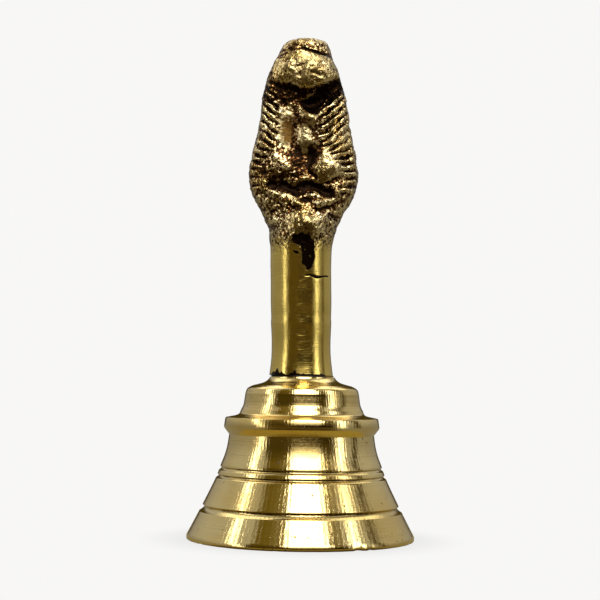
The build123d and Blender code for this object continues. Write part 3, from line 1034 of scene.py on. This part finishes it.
def makeWorld():
    world = bpy.data.worlds.new("studio")
    bpy.context.scene.world = world
    world.use_nodes = True
    tree = world.node_tree
    tree.nodes.clear()
    ray = addNode(tree, "TexCoord").outputs["Generated"]
    x, y, z = addNode(tree, "SeparateXYZ", {0: ray}).outputs
    turn = bearing(tree, x, y)
    rise = maths(tree, "MULTIPLY", maths(tree, "ARCSINE", z), 180 / math.pi)

    def window(across, arc, upright):
        return maths(tree, "MULTIPLY", between(tree, across, *studio[arc]), between(tree, rise, *studio[upright]))

    # a flag in front, with a softbox over it and a strip light on each side
    colour = mixColour(tree, ramp(tree, rise, -5.0, 22.0), studio["lowSurround"], studio["surround"])
    flag = mixColour(tree, ramp(tree, rise, 18.0, 46.0), studio["brownFlag"], studio["highFlag"])
    flag = mixColour(tree, ramp(tree, rise, 0.4, 1.5, 1.0, 0.0), flag, studio["goldFlag"])
    colour = mixColour(tree, between(tree, turn, *studio["flagArc"]), colour, flag)
    colour = mixColour(tree, window(turn, "blackArc", "blackRise"), colour, studio["blackFlag"])
    # the strips lean outward as they rise, the right one less, and it dims higher up
    onLeft = ramp(tree, turn, -1.0, 1.0, 1.0, 0.0)
    lean = ramp(tree, rise, 4.0, 42.0, 0.0, 26.0, "LINEAR")
    lean = maths(tree, "MULTIPLY", lean, ramp(tree, turn, -1.0, 1.0, 1.0, 0.2))
    bent = maths(tree, "SUBTRACT", maths(tree, "ABSOLUTE", turn), lean)
    fadeHigh = ramp(tree, rise, 40.0, 46.0, 1.0, 0.15, "LINEAR")
    strip = between(tree, bent, *studio["stripArc"])
    for share in (ramp(tree, rise, 50.0, 62.0, 1.0, 0.0), ramp(tree, rise, -10.0, 22.0, 0.08, 1.0),
                  maths(tree, "MAXIMUM", fadeHigh, onLeft)):
        strip = maths(tree, "MULTIPLY", strip, share)
    colour = mixColour(tree, strip, colour, studio["strip"])
    colour = mixColour(tree, between(tree, turn, *studio["thinArc"]), colour, studio["brownFlag"])
    halo = maths(tree, "MULTIPLY", between(tree, turn, *studio["haloArc"]), ramp(tree, rise, 26.0, 48.0))
    colour = mixColour(tree, maths(tree, "MULTIPLY", halo, 0.5), colour, studio["halo"])
    colour = mixColour(tree, window(turn, "softboxArc", "softboxRise"), colour, studio["softbox"])
    bars = maths(tree, "SINE", maths(tree, "MULTIPLY", turn, math.tau / studio["barPitch"]))
    grid = maths(tree, "MULTIPLY", window(turn, "gridArc", "gridRise"), ramp(tree, bars, -0.6, 0.8, 0.3, 0.9))
    colour = mixColour(tree, grid, colour, studio["gridGlow"])
    # behind the bell: one more flag with its own softbox, for the views from there
    behind = maths(tree, "SUBTRACT", 180.0, maths(tree, "ABSOLUTE", turn))
    colour = mixColour(tree, between(tree, behind, *studio["backFlagArc"]), colour, studio["brownFlag"])
    colour = mixColour(tree, window(behind, "backSoftboxArc", "backSoftboxRise"), colour, studio["backSoftbox"])
    lighting = addNode(tree, "Background", {"Color": colour, "Strength": 1.0}).outputs[0]
    plain = addNode(tree, "Background", {"Color": (*studio["background"], 1.0), "Strength": 1.0}).outputs[0]
    seen = addNode(tree, "LightPath").outputs["Is Camera Ray"]
    both = addNode(tree, "MixShader", {0: seen, 1: lighting, 2: plain}).outputs[0]
    addNode(tree, "OutputWorld", {"Surface": both})


def makeFloor():
    bm = bmesh.new()
    bmesh.ops.create_circle(bm, cap_ends=True, segments=96, radius=studio["floorRadius"])
    mesh = bpy.data.meshes.new("floor")
    bm.to_mesh(mesh)
    bm.free()
    floor = bpy.data.objects.new("floor", mesh)
    bpy.context.scene.collection.objects.link(floor)
    material = bpy.data.materials.new("floorPaper")
    material.use_nodes = True
    tree = material.node_tree
    tree.nodes.clear()
    place = addNode(tree, "TexCoord").outputs["Object"]
    away = addNode(tree, "VectorMath", {0: place}, operation="LENGTH").outputs["Value"]
    under = ramp(tree, away, 0.020, 0.040, studio["contactShadow"], 1.0)
    shown = addNode(tree, "VectorMath", {0: studio["background"], 3: under}, operation="SCALE").outputs[0]
    paper = addNode(tree, "Emission", {"Color": shown, "Strength": 1.0}).outputs[0]
    x, y, _ = addNode(tree, "SeparateXYZ", {0: place}).outputs
    # reflections see dimmer rings of floor: inside the lip, just outside it, and the rest, browner in front
    turn = bearing(tree, x, y)
    glow = mixColour(tree, between(tree, turn, -50.0, 50.0, 12.0), studio["bounce"], studio["frontBounce"])
    glow = mixColour(tree, between(tree, away, 0.0285, 0.048, 0.003), glow, studio["nearBounce"])
    glow = mixColour(tree, ramp(tree, away, 0.024, 0.026, 1.0, 0.0), glow, studio["innerBounce"])
    bounce = addNode(tree, "Emission", {"Color": glow}).outputs[0]
    seen = addNode(tree, "LightPath").outputs["Is Camera Ray"]
    lit = addNode(tree, "MixShader", {0: seen, 1: bounce, 2: paper}).outputs[0]
    clear = addNode(tree, "BsdfTransparent").outputs[0]
    fade = ramp(tree, away, studio["fadeFrom"], studio["fadeTo"])
    fade = maths(tree, "MAXIMUM", fade, addNode(tree, "NewGeometry").outputs["Backfacing"])
    both = addNode(tree, "MixShader", {0: fade, 1: lit, 2: clear}).outputs[0]
    addNode(tree, "OutputMaterial", {"Surface": both})
    mesh.materials.append(material)


def makeKeyLight():
    light = bpy.data.lights.new("key", "AREA")
    light.energy = studio["keyEnergy"]
    light.size = studio["keySize"]
    light.color = studio["keyColour"]
    lamp = bpy.data.objects.new("key", light)
    bpy.context.scene.collection.objects.link(lamp)
    lamp.location = studio["keyPlace"]
    lamp.rotation_euler = (Vector(studio["keyAim"]) - lamp.location).to_track_quat("-Z", "Y").to_euler()
    lamp.visible_glossy = False


def makeCamera():
    data = bpy.data.cameras.new("camera")
    data.lens = studio["lens"]
    data.sensor_width = studio["sensor"]
    data.clip_start = 0.01
    camera = bpy.data.objects.new("camera", data)
    bpy.context.scene.collection.objects.link(camera)
    camera.location = studio["cameraPlace"]
    aim = Vector(studio["cameraAim"]) - camera.location
    roll = Quaternion((0, 0, 1), math.radians(studio["cameraRoll"]))
    camera.rotation_euler = (aim.to_track_quat("-Z", "Y") @ roll).to_euler()
    bpy.context.scene.camera = camera


makeWorld()
makeFloor()
makeKeyLight()
makeCamera()
bpy.context.scene.view_settings.view_transform = "Standard"
print("studio made")
